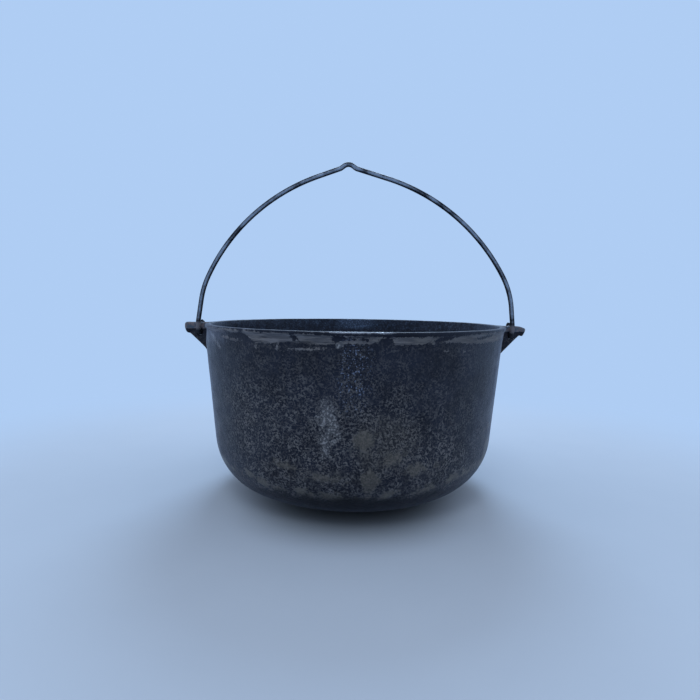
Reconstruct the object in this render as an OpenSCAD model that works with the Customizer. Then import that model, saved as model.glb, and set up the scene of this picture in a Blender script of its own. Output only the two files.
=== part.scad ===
// A round cast iron cauldron with two pierced ears and a bent wire bail.
// Millimetres, +Z up. The origin is the centre of the flat base, on the floor.
// The ears, and the line that the bail turns about, lie along X. -Y is the front.

/* [Bowl] */
// Outer diameter over the rim
rim_d = 273; // [240:1:300]
// Height from the floor to the top of the rim
bowl_h = 152.5; // [135:0.5:180]
// Thickness of the cast wall
wall_t = 4.5; // [3:0.25:7]
// Thickness of the flat base
base_t = 5.5; // [4:0.25:9]
// Lean of the side wall from upright, in degrees
wall_lean = 5.2; // [2:0.1:8]
// Outer radius of the rounded knee under the side wall
knee_r = 53; // [35:1:60]
// Outer radius of the belly, between the knee and the flat base
belly_r = 105; // [80:1:140]
// Slope at which the knee passes into the belly, in degrees
belly_slope = 20; // [10:1:30]

/* [Rim] */
// Height over which the wall curls outwards to the rim
flare_h = 18; // [10:0.5:26]
// How far that curl leaves the straight line of the wall
flare_out = 1.1; // [0.5:0.1:4]
// Height of the bead round the top edge
bead_h = 3.2; // [2.5:0.1:5]
// How far the bead stands out from the wall
bead_out = 0.7; // [0.3:0.1:1.2]
// Rounding of the rim's two top edges
rim_round = 1.3; // [0.5:0.1:1.5]

/* [Ears] */
// How far an ear reaches out from the rim
ear_out = 23; // [19:0.5:30]
// Width of the ear's top bar, front to back
bar_w = 8; // [6.5:0.25:10]
// Thickness of the ear's top bar
bar_t = 6.4; // [5:0.2:8]
// Rounding of the bar's long edges and of its outer end
bar_round = 2; // [1:0.1:2.4]
// Width of the bar where it grows out of the rim
root_w = 15; // [10:0.5:22]
// How far the wide root runs out from the rim
root_out = 3; // [1:0.5:4]
// Height of the lip that turns down at the ear's outer end
lip_h = 10.5; // [8.5:0.5:13]
// Thickness of that lip, measured along the ear
lip_w = 4.7; // [3:0.1:6]
// Rounding of the lip's outer corner at the bottom
lip_round = 3.6; // [1:0.1:4.6]
// Thickness of the web that braces the bar
web_t = 5; // [3:0.25:6]
// Depth below the rim at which the web meets the wall
web_h = 34.5; // [28:0.5:42]
// Hollow of the web's sloping edge
web_bow = 1.2; // [0:0.1:2]

/* [Bail] */
// Diameter of the bail's wire
wire_d = 4.5; // [3:0.25:5]
// Clearance between the wire and the ear that it hooks through
wire_gap = 0.4; // [0.3:0.05:0.6]
// Distance from the rim out to the middle of the wire
hook_out = 9; // [8:0.1:11]
// Height of the peak's corner above the rim
peak_h = 145.2; // [120:0.2:165]
// Sideways place of the peak: the bail is bent a little by use
peak_x = -8; // [-12:0.5:12]
// Half width of the small peak that keeps a hanging hook in the middle
peak_half = 7; // [6:0.2:10]
// Height of the peak's corner above its shoulders
peak_rise = 5.2; // [4:0.2:6]
// Bend radius of the peak and its shoulders
peak_bend = 6.6; // [5:0.2:7.4]
// Length of a leg from the hinge line to its outer bend
leg_len = 31.2; // [25:0.2:45]
// Lean of the left leg from upright, in degrees
leg_lean = 9; // [5:0.2:12]
// How much more upright the right leg stands, in degrees: the bail is bent by use
lean_skew = 3.2; // [0:0.2:4]
// Bend radius at the top of a leg
leg_bend = 76; // [40:1:90]
// Slope of the wire above that bend on the left, in degrees
side_slope = 65; // [58:0.5:70]
// How much flatter it slopes on the right, in degrees
side_skew = 4; // [0:0.5:6]
// Slope of the wire where it reaches the peak's left shoulder, in degrees
top_slope = 19.5; // [10:0.5:22]
// How much flatter it reaches the right shoulder, in degrees
top_skew = 3; // [0:0.5:5]
// Length of straight wire that rises in front of the ear before the leg's foot
hook_rise = 3.5; // [3:0.1:5]
// Bend radius of the leg's foot
foot_bend = 6; // [5:0.5:10]
// Length of straight wire that rises behind the ear before the cut tip
tip_rise = 1.8; // [1.5:0.1:3]
// Bend radius of the cut tip
tip_bend = 3; // [2.6:0.1:5]
// Length of the right-hand tip past its bend
tip_len = 2.3; // [2.3:0.1:6]
// How much shorter the left-hand tip is cut
tip_skew = 2.1; // [0:0.1:2.1]
// Inward lean of the cut tips, in degrees
tip_lean = 45; // [20:1:50]

/* [Hidden] */
$fn = 96;

// Bowl and rim
rim_r = rim_d / 2;
line_r = rim_r - bead_out - flare_out;
line_in = line_r - wall_t / cos(wall_lean);
past = 1;
knee_steps = 20;
belly_steps = 6;
flare_steps = 8;
edge_steps = 4;

// Ears
ear_reach = rim_r + ear_out;
ear_root = rim_r - 3 * wall_t;
lip_curve = min(lip_round, lip_w);
web_root = wall_line(line_r, bowl_h - web_h) - wall_t / 2;

// Hinge of the bail: the wire's hook is a half circle round the middle of the bar
wire_r = wire_d / 2;
hinge_z = bowl_h - bar_t / 2;
bar_reach = norm([bar_w / 2 - bar_round, bar_t / 2 - bar_round]) + bar_round;
hook_r = bar_reach + wire_gap + wire_r;
hook_x = rim_r + hook_out;
hole_top = sqrt(pow(hook_r - wire_r, 2) - pow(web_t / 2, 2)) - wire_gap;
hole_low = hook_r + wire_r + wire_gap;
hole_r = (hole_low - hole_top) / 2;
hole_z = hinge_z - (hole_low + hole_top) / 2;

// Line of the bail's wire: corners as [x, height above the hinge line, bend radius]
peak_z = peak_h + bar_t / 2;
shoulder_z = peak_z - peak_rise;
wire_sides = 12;
wire_facet = 0.07;

// Radius at height z of a wall line that passes through radius r at the rim
function wall_line(r, z) = r - (bowl_h - z) * tan(wall_lean);

// Points of an arc round [cx, cy], from angle a to angle b
function arc(cx, cy, r, a, b, steps) =
    [for (i = [0:steps]) let (t = a + (b - a) * i / steps) [cx + r * cos(t), cy + r * sin(t)]];

// One skin of the bowl, from the axis at floor_z out along the belly and up round the knee
function skin(line, knee, belly, floor_z) =
    let (knee_z = floor_z + belly - (belly - knee) * cos(belly_slope))
    let (knee_x = wall_line(line, knee_z) - knee / cos(wall_lean))
    let (belly_x = knee_x - (belly - knee) * sin(belly_slope))
    concat(
        [[0, floor_z]],
        arc(belly_x, floor_z + belly, belly, -90, belly_slope - 90, belly_steps),
        arc(knee_x, knee_z, knee, belly_slope - 90, -wall_lean, knee_steps)
    );

// Radius at height z of a skin that curls outwards over flare_h
function flared(line, z) =
    wall_line(line, z) + flare_out * pow(max(0, z - bowl_h + flare_h) / flare_h, 2);

// The curl from the straight wall up to height top
function flare(line, top) =
    [for (i = [0:flare_steps]) let (z = bowl_h - flare_h + (top - bowl_h + flare_h) * i / flare_steps)
        [flared(line, z), z]];

module bowl_outside() {
    rotate_extrude() polygon(concat(
        skin(line_r, knee_r, belly_r, 0),
        flare(line_r, bowl_h - bead_h),
        arc(rim_r - bead_out, bowl_h - bead_h + bead_out, bead_out, -90, 0, edge_steps),
        arc(rim_r - rim_round, bowl_h - rim_round, rim_round, 0, 90, edge_steps),
        [[0, bowl_h]]
    ));
}

module bowl_inside() {
    mouth_r = flared(line_in, bowl_h - rim_round) + rim_round;
    rotate_extrude() polygon(concat(
        skin(line_in, knee_r - wall_t, belly_r - wall_t, base_t),
        flare(line_in, bowl_h - rim_round),
        arc(mouth_r, bowl_h - rim_round, rim_round, 180, 90, edge_steps),
        [[mouth_r, bowl_h + past], [0, bowl_h + past]]
    ));
}

// Side view of an ear, as x and depth below the rim
module ear_side() {
    start = [ear_reach - lip_w, -lip_h];
    end = [web_root, -web_h];
    across = [end.y - start.y, start.x - end.x] / norm(end - start);
    polygon(concat(
        [[ear_root, -web_h], [ear_root, 0]],
        arc(ear_reach - bar_round, -bar_round, bar_round, 90, 0, edge_steps),
        arc(ear_reach - lip_curve, lip_curve - lip_h, lip_curve, 0, -90, edge_steps),
        [for (i = [0:flare_steps]) let (t = i / flare_steps)
            start + (end - start) * t + across * web_bow * 4 * t * (1 - t)]
    ));
}

// Plan of an ear, with its wide root and its rounded outer end
module ear_plan() {
    half = bar_w / 2;
    polygon(concat(
        [[ear_root, -root_w / 2], [rim_r, -root_w / 2], [rim_r + root_out, -half]],
        arc(ear_reach - bar_round, bar_round - half, bar_round, -90, 0, edge_steps),
        arc(ear_reach - bar_round, half - bar_round, bar_round, 0, 90, edge_steps),
        [[rim_r + root_out, half], [rim_r, root_w / 2], [ear_root, root_w / 2]]
    ));
}

// Cross-section of the bar, with all four long edges rounded
module bar_section() {
    side = bar_w / 2 - bar_round;
    rise = bar_t / 2 - bar_round;
    polygon(concat(
        arc(side, rise, bar_round, 0, 90, edge_steps),
        arc(-side, rise, bar_round, 90, 180, edge_steps),
        arc(-side, -rise, bar_round, 180, 270, edge_steps),
        arc(side, -rise, bar_round, 270, 360, edge_steps)
    ));
}

// The ear on the +X side, solid: the bowl's inside is cut away from its root
module ear() {
    intersection() {
        translate([0, root_w / 2, bowl_h]) rotate([90, 0, 0]) linear_extrude(root_w) ear_side();
        translate([0, 0, bowl_h - web_h]) linear_extrude(web_h) ear_plan();
        union() {
            translate([ear_root, 0, hinge_z]) rotate([90, 0, 90])
                linear_extrude(ear_out + rim_r - ear_root) bar_section();
            translate([ear_root, -root_w / 2, bowl_h - bar_t])
                cube([rim_r + root_out - ear_root, root_w, bar_t]);
            translate([ear_reach - lip_w, -bar_w / 2, bowl_h - lip_h])
                cube([lip_w, bar_w, lip_h - bar_t / 2]);
            translate([ear_root, -web_t / 2, bowl_h - web_h])
                cube([ear_out + rim_r - ear_root, web_t, web_h - bar_t / 2]);
        }
    }
}

module wire_hole() {
    translate([hook_x, 0, hole_z]) rotate([90, 0, 0]) cylinder(r = hole_r, h = root_w, center = true);
}

module cauldron() {
    color([0.13, 0.14, 0.16]) difference() {
        union() {
            bowl_outside();
            for (turn = [0, 180]) rotate([0, 0, turn]) ear();
        }
        bowl_inside();
        for (turn = [0, 180]) rotate([0, 0, turn]) wire_hole();
    }
}

function flat(corner) = [corner.x, corner.y];

function unit(v) = v / norm(v);

// Length of straight that a bend of radius r takes up on each side of its corner
function bend_take(before, here, after, r) =
    r * tan(acos(unit(here - before) * unit(after - here)) / 2);

// Number of straight steps in a bend, so that none is further than wire_facet off the curve
function bend_steps(r, turn) = max(2, ceil(turn / (2 * acos(1 - wire_facet / r))));

// Points of the bend at one corner [x, y, bend radius], between its two neighbours
function bend(before, here, after) =
    let (a = unit(flat(here) - flat(before)), b = unit(flat(after) - flat(here)), r = here.z)
    let (turn = acos(a * b), side = sign(a.x * b.y - a.y * b.x))
    let (middle = flat(here) - a * r * tan(turn / 2) + side * r * [-a.y, a.x])
    let (start = atan2(a.y, a.x) - side * 90)
    arc(middle.x, middle.y, r, start, start + side * turn, bend_steps(r, turn));

// All the bends along a list of corners, without its two ends
function bends(corners) =
    [for (i = [1:len(corners) - 2]) each bend(corners[i - 1], corners[i], corners[i + 1])];

// Corners of one half of the bail, from its foot to the peak's shoulder; side is -1 or 1.
// It leans by lean, rises steeply to the arch's corner and reaches the shoulder at slope.
function half_bail(side, lean, steep, slope) =
    let (foot = [side * hook_x, hook_rise + foot_bend * tan(lean / 2)])
    let (leg = foot + leg_len * [-side * sin(lean), cos(lean)])
    let (shoulder = [peak_x + side * peak_half, shoulder_z])
    let (up = [-side * cos(steep), sin(steep)])
    let (down = [side * cos(slope), -sin(slope)])
    let (gap = shoulder - leg)
    let (arch = leg + up * (gap.x * down.y - gap.y * down.x) / (up.x * down.y - up.y * down.x))
    let (leg_take = bend_take(foot, leg, arch, leg_bend))
    let (peak_take = bend_take(arch, shoulder, [peak_x, peak_z], peak_bend))
    let (room = min(norm(arch - leg) - leg_take, norm(shoulder - arch) - peak_take))
    [
        [side * hook_x, 0, 0],
        [foot.x, foot.y, foot_bend],
        [leg.x, leg.y, leg_bend],
        [arch.x, arch.y, room / tan((steep - slope) / 2)],
        [shoulder.x, shoulder.y, peak_bend]
    ];

function backwards(list) = [for (i = [len(list) - 1:-1:0]) list[i]];

// The hook under one ear's bar, from the front leg's foot round to the back, and the cut tip
function hook(side, past_bend) =
    let (start = [side * hook_x, 0, 0])
    let (turn = start + [0, tip_rise + tip_bend * tan(tip_lean / 2), tip_bend])
    let (rest = tip_bend * tan(tip_lean / 2) + past_bend)
    let (end = turn + rest * [-side * sin(tip_lean), cos(tip_lean), 0])
    concat(
        [for (p = arc(0, 0, hook_r, 180, 360, bend_steps(hook_r, 180))) [start.x, p.x, p.y]],
        [for (p = bends([start, turn, end])) [p.x, hook_r, p.y]],
        [[end.x, hook_r, end.y]]
    );

// The whole line of the wire, from the left tip over the peak to the right tip
function bail_line() =
    let (left = half_bail(-1, leg_lean, side_slope, top_slope))
    let (right = half_bail(1, leg_lean - lean_skew, side_slope - side_skew, top_slope - top_skew))
    let (front = bends(concat(left, [[peak_x, peak_z, peak_bend]], backwards(right))))
    let (arch = [for (p = front) [p.x, -hook_r, p.y]])
    concat(backwards(hook(-1, tip_len - tip_skew)), arch, hook(1, tip_len));

// Side s turned square to the direction way
function squared(s, way) = unit(s - (s * way) * way);

// Round wire along a line of points. Each ring of corners starts from the last one's side,
// turned square to the wire, so that the wire doesn't twist. Flats face along that side.
module wire(line) {
    last = len(line) - 1;
    way = [for (i = [0:last]) unit(line[min(i + 1, last)] - line[max(i - 1, 0)])];
    across = [for (i = 0, s = [0, 1, 0]; i <= last; i = i + 1, s = squared(s, way[min(i, last)])) s];
    corners = [for (k = [0:wire_sides - 1]) let (a = 360 * (k + 0.5) / wire_sides) [cos(a), sin(a)]];
    rings = [for (i = [0:last]) for (c = corners)
        line[i] + wire_r * (c.x * across[i] + c.y * cross(way[i], across[i]))];
    sides = [for (i = [0:last - 1]) for (k = [0:wire_sides - 1])
        let (next = (k + 1) % wire_sides, here = i * wire_sides, there = here + wire_sides)
            each [[here + k, here + next, there + k], [here + next, there + next, there + k]]];
    start = [for (k = [wire_sides - 1:-1:0]) k];
    end = [for (k = [0:wire_sides - 1]) last * wire_sides + k];
    polyhedron(rings, concat([start], sides, [end]));
}

module bail() {
    color([0.32, 0.33, 0.35]) translate([0, 0, hinge_z]) wire(bail_line());
}

cauldron();
bail();
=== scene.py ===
# %% [markdown]
# # A cast iron cauldron with a wire bail
#
# The cauldron is two things: one iron casting, which is a bowl with a pierced ear at each side,
# and one bent wire, the bail, whose ends hook through the ears. The solid model already fixes
# their sizes and the line that the bail turns about. This lesson builds the surfaces that the
# eye sees on top of it. Lengths are in metres, +Z is up, and the bowl stands on z = 0.

# %% Load the solid model
import math
import random

import bpy
import numpy as np
from mathutils import Matrix, Vector, noise


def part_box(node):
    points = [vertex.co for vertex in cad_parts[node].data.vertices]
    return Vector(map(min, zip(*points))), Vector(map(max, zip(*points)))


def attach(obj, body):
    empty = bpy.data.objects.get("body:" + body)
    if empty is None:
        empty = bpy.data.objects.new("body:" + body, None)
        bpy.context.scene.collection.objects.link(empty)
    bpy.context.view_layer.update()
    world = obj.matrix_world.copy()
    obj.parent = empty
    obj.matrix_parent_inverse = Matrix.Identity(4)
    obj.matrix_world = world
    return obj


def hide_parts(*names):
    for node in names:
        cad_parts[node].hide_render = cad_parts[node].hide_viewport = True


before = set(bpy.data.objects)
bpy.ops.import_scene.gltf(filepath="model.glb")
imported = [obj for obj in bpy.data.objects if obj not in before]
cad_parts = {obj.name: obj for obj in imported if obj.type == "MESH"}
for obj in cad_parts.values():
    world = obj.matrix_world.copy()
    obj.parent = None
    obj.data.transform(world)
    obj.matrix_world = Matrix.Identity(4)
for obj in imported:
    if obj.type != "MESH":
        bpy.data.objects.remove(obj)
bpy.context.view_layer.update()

mm = 0.001

# %% [markdown]
# ## The camera
#
# A photograph fixes three things about its camera: how wide it sees, how high it stands and how
# it is tipped. Here the ellipse of the rim gives the height, the outline of the bowl gives the
# distance, and the width of the rim against its height gives the focal length. The picture is a
# square of 700 pixels, so a focal length in pixels turns into a lens for a 36 mm sensor.

# %% Camera
pot_low, pot_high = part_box("cauldron")
rim_r = pot_high.y
bowl_h = pot_high.z
ear_reach = pot_high.x

picture = 700
focal_pixels = 534
camera_distance = 502 * mm
camera_above_rim = 21.35 * mm
camera_left = 4.6 * mm
camera_pitch = math.radians(5.28)
camera_roll = 0.0131

camera_data = bpy.data.cameras.new("camera")
camera_data.sensor_width = 36
camera_data.lens = camera_data.sensor_width * focal_pixels / picture
camera_data.clip_start = 0.01
camera = bpy.data.objects.new("camera", camera_data)
bpy.context.scene.collection.objects.link(camera)
bpy.context.scene.camera = camera

ahead = Vector((0, math.cos(camera_pitch), -math.sin(camera_pitch)))
level_right = Vector((1, 0, 0))
level_up = level_right.cross(ahead)
camera_x = level_right * math.cos(camera_roll) + level_up * math.sin(camera_roll)
camera_y = camera_x.cross(ahead)
camera.matrix_world = Matrix((camera_x, camera_y, -ahead)).transposed().to_4x4()
camera.location = (-camera_left, -camera_distance, bowl_h + camera_above_rim)
print("lens %.2f mm, camera at" % camera_data.lens, [round(c, 3) for c in camera.location])

# %% [markdown]
# ## The line of the bowl
#
# A bowl like this is turned: one outline, spun round the upright axis. The outline is a flat
# base, a wide belly, a tighter knee, a wall that leans out a little, and a curl to the rim with a
# small bead at the very top. Arcs and straight lines say that better than a list of points, and
# the inside follows the same rule a wall's thickness further in.

# %% Measures of the bowl
wall_t = 4.5 * mm
base_t = 5.5 * mm
wall_lean = math.radians(5.2)
knee_r = 53 * mm
belly_r = 105 * mm
belly_slope = math.radians(20)
flare_h = 18 * mm
flare_out = 1.1 * mm
bead_h = 3.2 * mm
bead_out = 0.7 * mm
rim_round = 1.3 * mm
line_r = rim_r - bead_out - flare_out
line_in = line_r - wall_t / math.cos(wall_lean)


def wall_line(r, z):
    """Radius at height z of a wall that has radius r at the rim."""
    return r - (bowl_h - z) * math.tan(wall_lean)


def flared(r, z):
    """The same wall with its curl outwards towards the rim."""
    share = np.maximum(0, z - bowl_h + flare_h) / flare_h
    return wall_line(r, z) + flare_out * share**2


def spread(a, b, step):
    """Evenly spaced values from a up to, but without, b."""
    return np.linspace(a, b, max(2, round(abs(b - a) / step) + 1))[:-1]


def arc(cx, cy, r, a, b, step):
    """Points of an arc from angle a up to, but without, angle b."""
    turn = spread(a, b, step / r)
    return [(cx + r * math.cos(t), cy + r * math.sin(t)) for t in turn]


# %% Outline of the bowl
def skin(line, knee, belly, floor_z, step):
    """Flat floor, belly, knee and straight wall of one skin, from the axis up to the curl."""
    knee_z = floor_z + belly - (belly - knee) * math.cos(belly_slope)
    knee_x = wall_line(line, knee_z) - knee / math.cos(wall_lean)
    belly_x = knee_x - (belly - knee) * math.sin(belly_slope)
    wall_z = knee_z - knee * math.sin(wall_lean)
    points = [(r, floor_z) for r in spread(0, belly_x, 2 * step)[1:]]
    points += arc(belly_x, floor_z + belly, belly, -math.pi / 2, belly_slope - math.pi / 2, step)
    points += arc(knee_x, knee_z, knee, belly_slope - math.pi / 2, -wall_lean, step)
    points += [(wall_line(line, z), z) for z in spread(wall_z, bowl_h - flare_h, step)]
    return points


fine = 0.5 * mm
bead_z = bowl_h - bead_h
mouth_z = bowl_h - rim_round
mouth_r = flared(line_in, mouth_z) + rim_round
outside_line = skin(line_r, knee_r, belly_r, 0, 2.2 * mm)
outside_line += [(flared(line_r, z), z) for z in spread(bowl_h - flare_h, bead_z, 1.2 * mm)]
outside_line += arc(rim_r - bead_out, bead_z + bead_out, bead_out, -math.pi / 2, 0, fine)
outside_line += arc(rim_r - rim_round, mouth_z, rim_round, 0, math.pi / 2, fine)
inside_line = skin(line_in, knee_r - wall_t, belly_r - wall_t, base_t, 2.7 * mm)
inside_line += [(flared(line_in, z), z) for z in spread(bowl_h - flare_h, mouth_z, 1.6 * mm)]
inside_line += arc(mouth_r, mouth_z, rim_round, math.pi, math.pi / 2, fine)
bowl_line = outside_line + [(mouth_r, bowl_h)] + inside_line[::-1]
print("outline of the bowl:", len(bowl_line), "points, rim", round(rim_r / mm, 1), "mm")

# %% [markdown]
# ## Turning the bowl
#
# Blender has a Screw modifier that spins an outline. Writing the rings by hand is as short, and
# it leaves one closed skin with a single point at the middle of the base and one at the middle
# of the floor, which a later join needs.

# %% Turn the bowl
around = 360


def closed_mesh(name, points, faces):
    """A mesh object from points and faces, linked to the scene."""
    mesh = bpy.data.meshes.new(name)
    mesh.from_pydata([tuple(p) for p in points], [], faces)
    mesh.update()
    piece = bpy.data.objects.new(name, mesh)
    bpy.context.scene.collection.objects.link(piece)
    return piece


def turned(name, line):
    """The closed skin of an outline spun round Z, with a point on the axis at both ends."""
    angles = np.arange(around) * 2 * math.pi / around
    rings = [(r * math.cos(a), r * math.sin(a), z) for r, z in line for a in angles]
    points = rings + [(0, 0, line[0][1]), (0, 0, line[-1][1])]
    first, last = len(rings), len(rings) + 1
    top = len(rings) - around
    faces = []
    for k in range(around):
        nxt = (k + 1) % around
        faces.append((first, nxt, k))
        faces.append((last, top + k, top + nxt))
        for ring in range(len(line) - 1):
            low = ring * around
            high = low + around
            faces.append((low + k, low + nxt, high + nxt, high + k))
    return closed_mesh(name, points, faces)


cauldron = turned("cauldron_casting", bowl_line)
print("bowl:", len(cauldron.data.polygons), "faces")

# %% [markdown]
# ## The ears as distances
#
# Each ear is a short bar level with the rim, a lip that turns down at its end, and a thin web
# that braces it against the wall. In the casting they all flow into each other with soft
# corners. That is awkward to model face by face, and easy to write as distances: for every point
# of a fine grid, how far it is from the bar, the lip, the web and the wall. A smooth minimum of
# the four is the blended ear, and its zero surface is the skin. The hole is taken out in the same
# way: it is all that lies closer to the bail than the clearance between them, both while the
# bail stands and its bend is in the hole, and when it is laid down and a straight end is.

# %% Measures of the ears
bar_w = 8 * mm
bar_t = 6.4 * mm
bar_round = 2 * mm
lip_h = 10.5 * mm
lip_w = 4.7 * mm
web_t = 5 * mm
wire_r = 2.25 * mm
wire_gap = 0.4 * mm
# The cast skin is moved inwards later, which widens the hole by up to 0.34 mm all round.
hole_gap = -0.12 * mm
hook_x = rim_r + 9 * mm
hinge_z = bowl_h - bar_t / 2
bar_reach = math.hypot(bar_w / 2 - bar_round, bar_t / 2 - bar_round) + bar_round
hook_r = bar_reach + wire_gap + wire_r
print("the hook turns %.2f mm from the middle of the bar" % (hook_r / mm))


# %% Distances
def box_distance(p, low, high, rounding):
    """Distance from the points p to a box with rounded edges."""
    middle = (np.array(low) + np.array(high)) / 2
    half = (np.array(high) - np.array(low)) / 2 - rounding
    q = np.abs(p - middle) - half
    outside = np.linalg.norm(np.maximum(q, 0), axis=-1)
    return outside + np.minimum(q.max(axis=-1), 0) - rounding


def blend_min(a, b, k):
    """The smaller of two distances, with a soft fillet of about k where they meet."""
    share = np.clip(0.5 + 0.5 * (b - a) / k, 0, 1)
    return b + (a - b) * share - k * share * (1 - share)


def blend_max(a, b, k):
    """The larger of two distances, with its edge rounded by about k."""
    return -blend_min(-a, -b, k)


def wall_distance(p):
    """Distance outwards from the bowl's outer skin, curl and bead included."""
    z = p[..., 2]
    radius = np.hypot(p[..., 0], p[..., 1])
    in_bead = np.clip((z - bead_z) / (0.6 * bead_out) + 0.5, 0, 1)
    return (radius - flared(line_r, z) - bead_out * in_bead) * math.cos(wall_lean)


# %% Distance to an ear
def ear_distance(p, end_line, web_h, web_bow):
    """Distance to the ear on the +X side, inside the line round its end and under its web."""
    x, y, z = p[..., 0], p[..., 1], p[..., 2]
    inner = rim_r - 3 * wall_t
    half = bar_w / 2
    bar = box_distance(p, (inner, -half, bowl_h - bar_t), (ear_reach, half, bowl_h), bar_round)
    lip_low = (ear_reach - lip_w, -half, bowl_h - lip_h)
    lip = box_distance(p, lip_low, (ear_reach, half, bowl_h - 1 * mm), bar_round)
    head = blend_min(bar, lip, 2.4 * mm)
    start = np.array([ear_reach, bowl_h]) + np.array(end_line[-1]) * mm
    end = np.array([wall_line(line_r, bowl_h - web_h) - wall_t / 2, bowl_h - web_h])
    slope = (end - start) / np.linalg.norm(end - start)
    along = (x - start[0]) * slope[0] + (z - start[1]) * slope[1]
    share = np.clip(along / np.linalg.norm(end - start), 0, 1)
    across = (x - start[0]) * -slope[1] + (z - start[1]) * slope[0]
    under = across + 4 * web_bow * share * (1 - share)
    web = blend_max(under, np.abs(y) - web_t / 2, 1.6 * mm)
    web = np.maximum(web, z - bowl_h + bar_t / 2)
    ear = blend_min(head, web, 2.0 * mm)
    for (ax, az), (bx, bz) in zip(end_line, end_line[1:-1]):
        outwards = np.array([az - bz, bx - ax]) / math.hypot(bx - ax, bz - az)
        beyond = (x - ear_reach - ax * mm) * outwards[0] + (z - bowl_h - az * mm) * outwards[1]
        ear = blend_max(ear, beyond, 1.3 * mm)
    bend = np.hypot(np.hypot(y, z - hinge_z) - hook_r, x - hook_x) - wire_r
    straight = np.hypot(z - hinge_z + hook_r, x - hook_x) - wire_r
    return blend_max(ear, hole_gap - np.minimum(bend, straight), 0.3 * mm)


# %% [markdown]
# ## From distances to a mesh
#
# Surface nets turn such a grid into faces: every cell that the surface passes through gets one
# point, at the mean of the places where its edges are crossed, and every crossed edge of the
# grid gets one four-sided face between the points of the four cells round it. It gives a closed
# skin of even faces, which also suits the join that follows.

# %% Surface nets
def surface_net(field, origin, cell):
    """Points and faces of the zero surface of a 3-D field of distances."""
    cells = np.array(field.shape) - 1
    total = np.zeros((*cells, 3))
    count = np.zeros(cells)
    crossings = []
    for axis in range(3):
        low = np.take(field, range(cells[axis]), axis)
        high = np.take(field, range(1, cells[axis] + 1), axis)
        crossed = (low < 0) != (high < 0)
        place = np.stack(np.indices(low.shape), axis=-1).astype(float)
        place[..., axis] += np.where(crossed, low / np.where(crossed, low - high, 1), 0)
        crossings.append((crossed, low < 0))
        others = [k for k in range(3) if k != axis]
        for shift in ((0, 0), (0, 1), (1, 0), (1, 1)):
            window = [slice(None)] * 3
            for k, s in zip(others, shift):
                window[k] = slice(s, s + cells[k])
            window = tuple(window)
            count += crossed[window]
            total += place[window] * crossed[window][..., None]
    used = count > 0
    index = np.full(cells, -1)
    index[used] = np.arange(used.sum())
    points = total[used] / count[used][:, None] * cell + origin
    return points, net_faces(crossings, index)


def net_faces(crossings, index):
    """One face round each crossed edge of the grid."""
    faces = []
    for axis, (crossed, starts_inside) in enumerate(crossings):
        u, v = (axis + 1) % 3, (axis + 2) % 3
        for edge in np.argwhere(crossed):
            ring = []
            for du, dv in ((-1, -1), (0, -1), (0, 0), (-1, 0)):
                cell_at = edge.copy()
                cell_at[u] += du
                cell_at[v] += dv
                ring.append(int(index[tuple(cell_at)]))
            faces.append(ring if starts_inside[tuple(edge)] else ring[::-1])
    return faces


# %% Mesh the two ears
ear_cell = 0.55 * mm
fillet = 4.5 * mm
sunk = 0.06 * mm
root_depth = 2.6 * mm


def ear_mesh(name, side, end_line, web_h, web_bow):
    """One ear with its fillet, closed by a face inside the wall."""
    low = np.array([rim_r - 14 * mm, -15 * mm, bowl_h - web_h - 12 * mm])
    high = np.array([ear_reach + 1.5 * mm, 15 * mm, bowl_h + 1.5 * mm])
    axes = [np.arange(a, b, ear_cell) for a, b in zip(low, high)]
    p = np.stack(np.meshgrid(*axes, indexing="ij"), axis=-1)
    wall = wall_distance(p)
    field = blend_min(ear_distance(p, end_line, web_h, web_bow), wall + sunk, fillet)
    field = blend_max(field, p[..., 2] - bowl_h + 0.3 * sunk, 0.8 * mm)
    field = np.maximum(field, -wall - root_depth)
    for axis in range(3):
        for end in (0, -1):
            edge = [slice(None)] * 3
            edge[axis] = end
            field[tuple(edge)] = ear_cell
    points, faces = surface_net(field, low, ear_cell)
    if side < 0:
        points[:, :2] *= -1
    return closed_mesh(name, points, faces)


# Millimetres out from the ear's tip and up from the rim. No two hand-filed ends are alike.
left_end = [(-1.4, 0), (0, -1.4), (0, -6.8), (-1.6, -9.4), (-4.7, -10.8)]
right_end = [(-6.2, 0), (0, -2.6), (-0.8, -6.8), (-3.0, -9.9), (-6.4, -10.2)]
ears = [
    ear_mesh("ear_left", -1, left_end, 36 * mm, 0.2 * mm),
    ear_mesh("ear_right", 1, right_end, 36 * mm, 0.4 * mm),
]
print("ears:", [len(e.data.polygons) for e in ears], "faces")

# %% [markdown]
# ## Joining the casting
#
# The real cauldron is poured in one go, so bowl and ears become one mesh. Blender's Boolean with
# the Manifold solver joins closed meshes in a moment and keeps them closed.

# %% Join bowl and ears
def with_modifiers(piece):
    """The piece's mesh with its modifiers applied."""
    graph = bpy.context.evaluated_depsgraph_get()
    made = bpy.data.meshes.new_from_object(piece.evaluated_get(graph))
    piece.modifiers.clear()
    return made


for ear in ears:
    join = cauldron.modifiers.new("join " + ear.name, "BOOLEAN")
    join.operation = "UNION"
    join.solver = "MANIFOLD"
    join.object = ear
cauldron.data = with_modifiers(cauldron)
for ear in ears:
    bpy.data.objects.remove(ear)
cauldron.data.name = "cauldron_casting"
print("casting:", len(cauldron.data.vertices), "points,", len(cauldron.data.polygons), "faces")

# %% [markdown]
# ## Cast in sand
#
# A sand mould never gives a perfect surface. Broad waves and small lumps are moved into the mesh
# itself, always inwards so that the cauldron keeps its size. The finer grain comes later, as
# bump in the finish.

# %% Unevenness of the casting
broad = 34 * mm
lumpy = 9 * mm


def read_points(mesh):
    values = np.zeros(len(mesh.vertices) * 3, np.float32)
    mesh.vertices.foreach_get("co", values)
    return values.reshape(-1, 3).astype(float)


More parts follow.
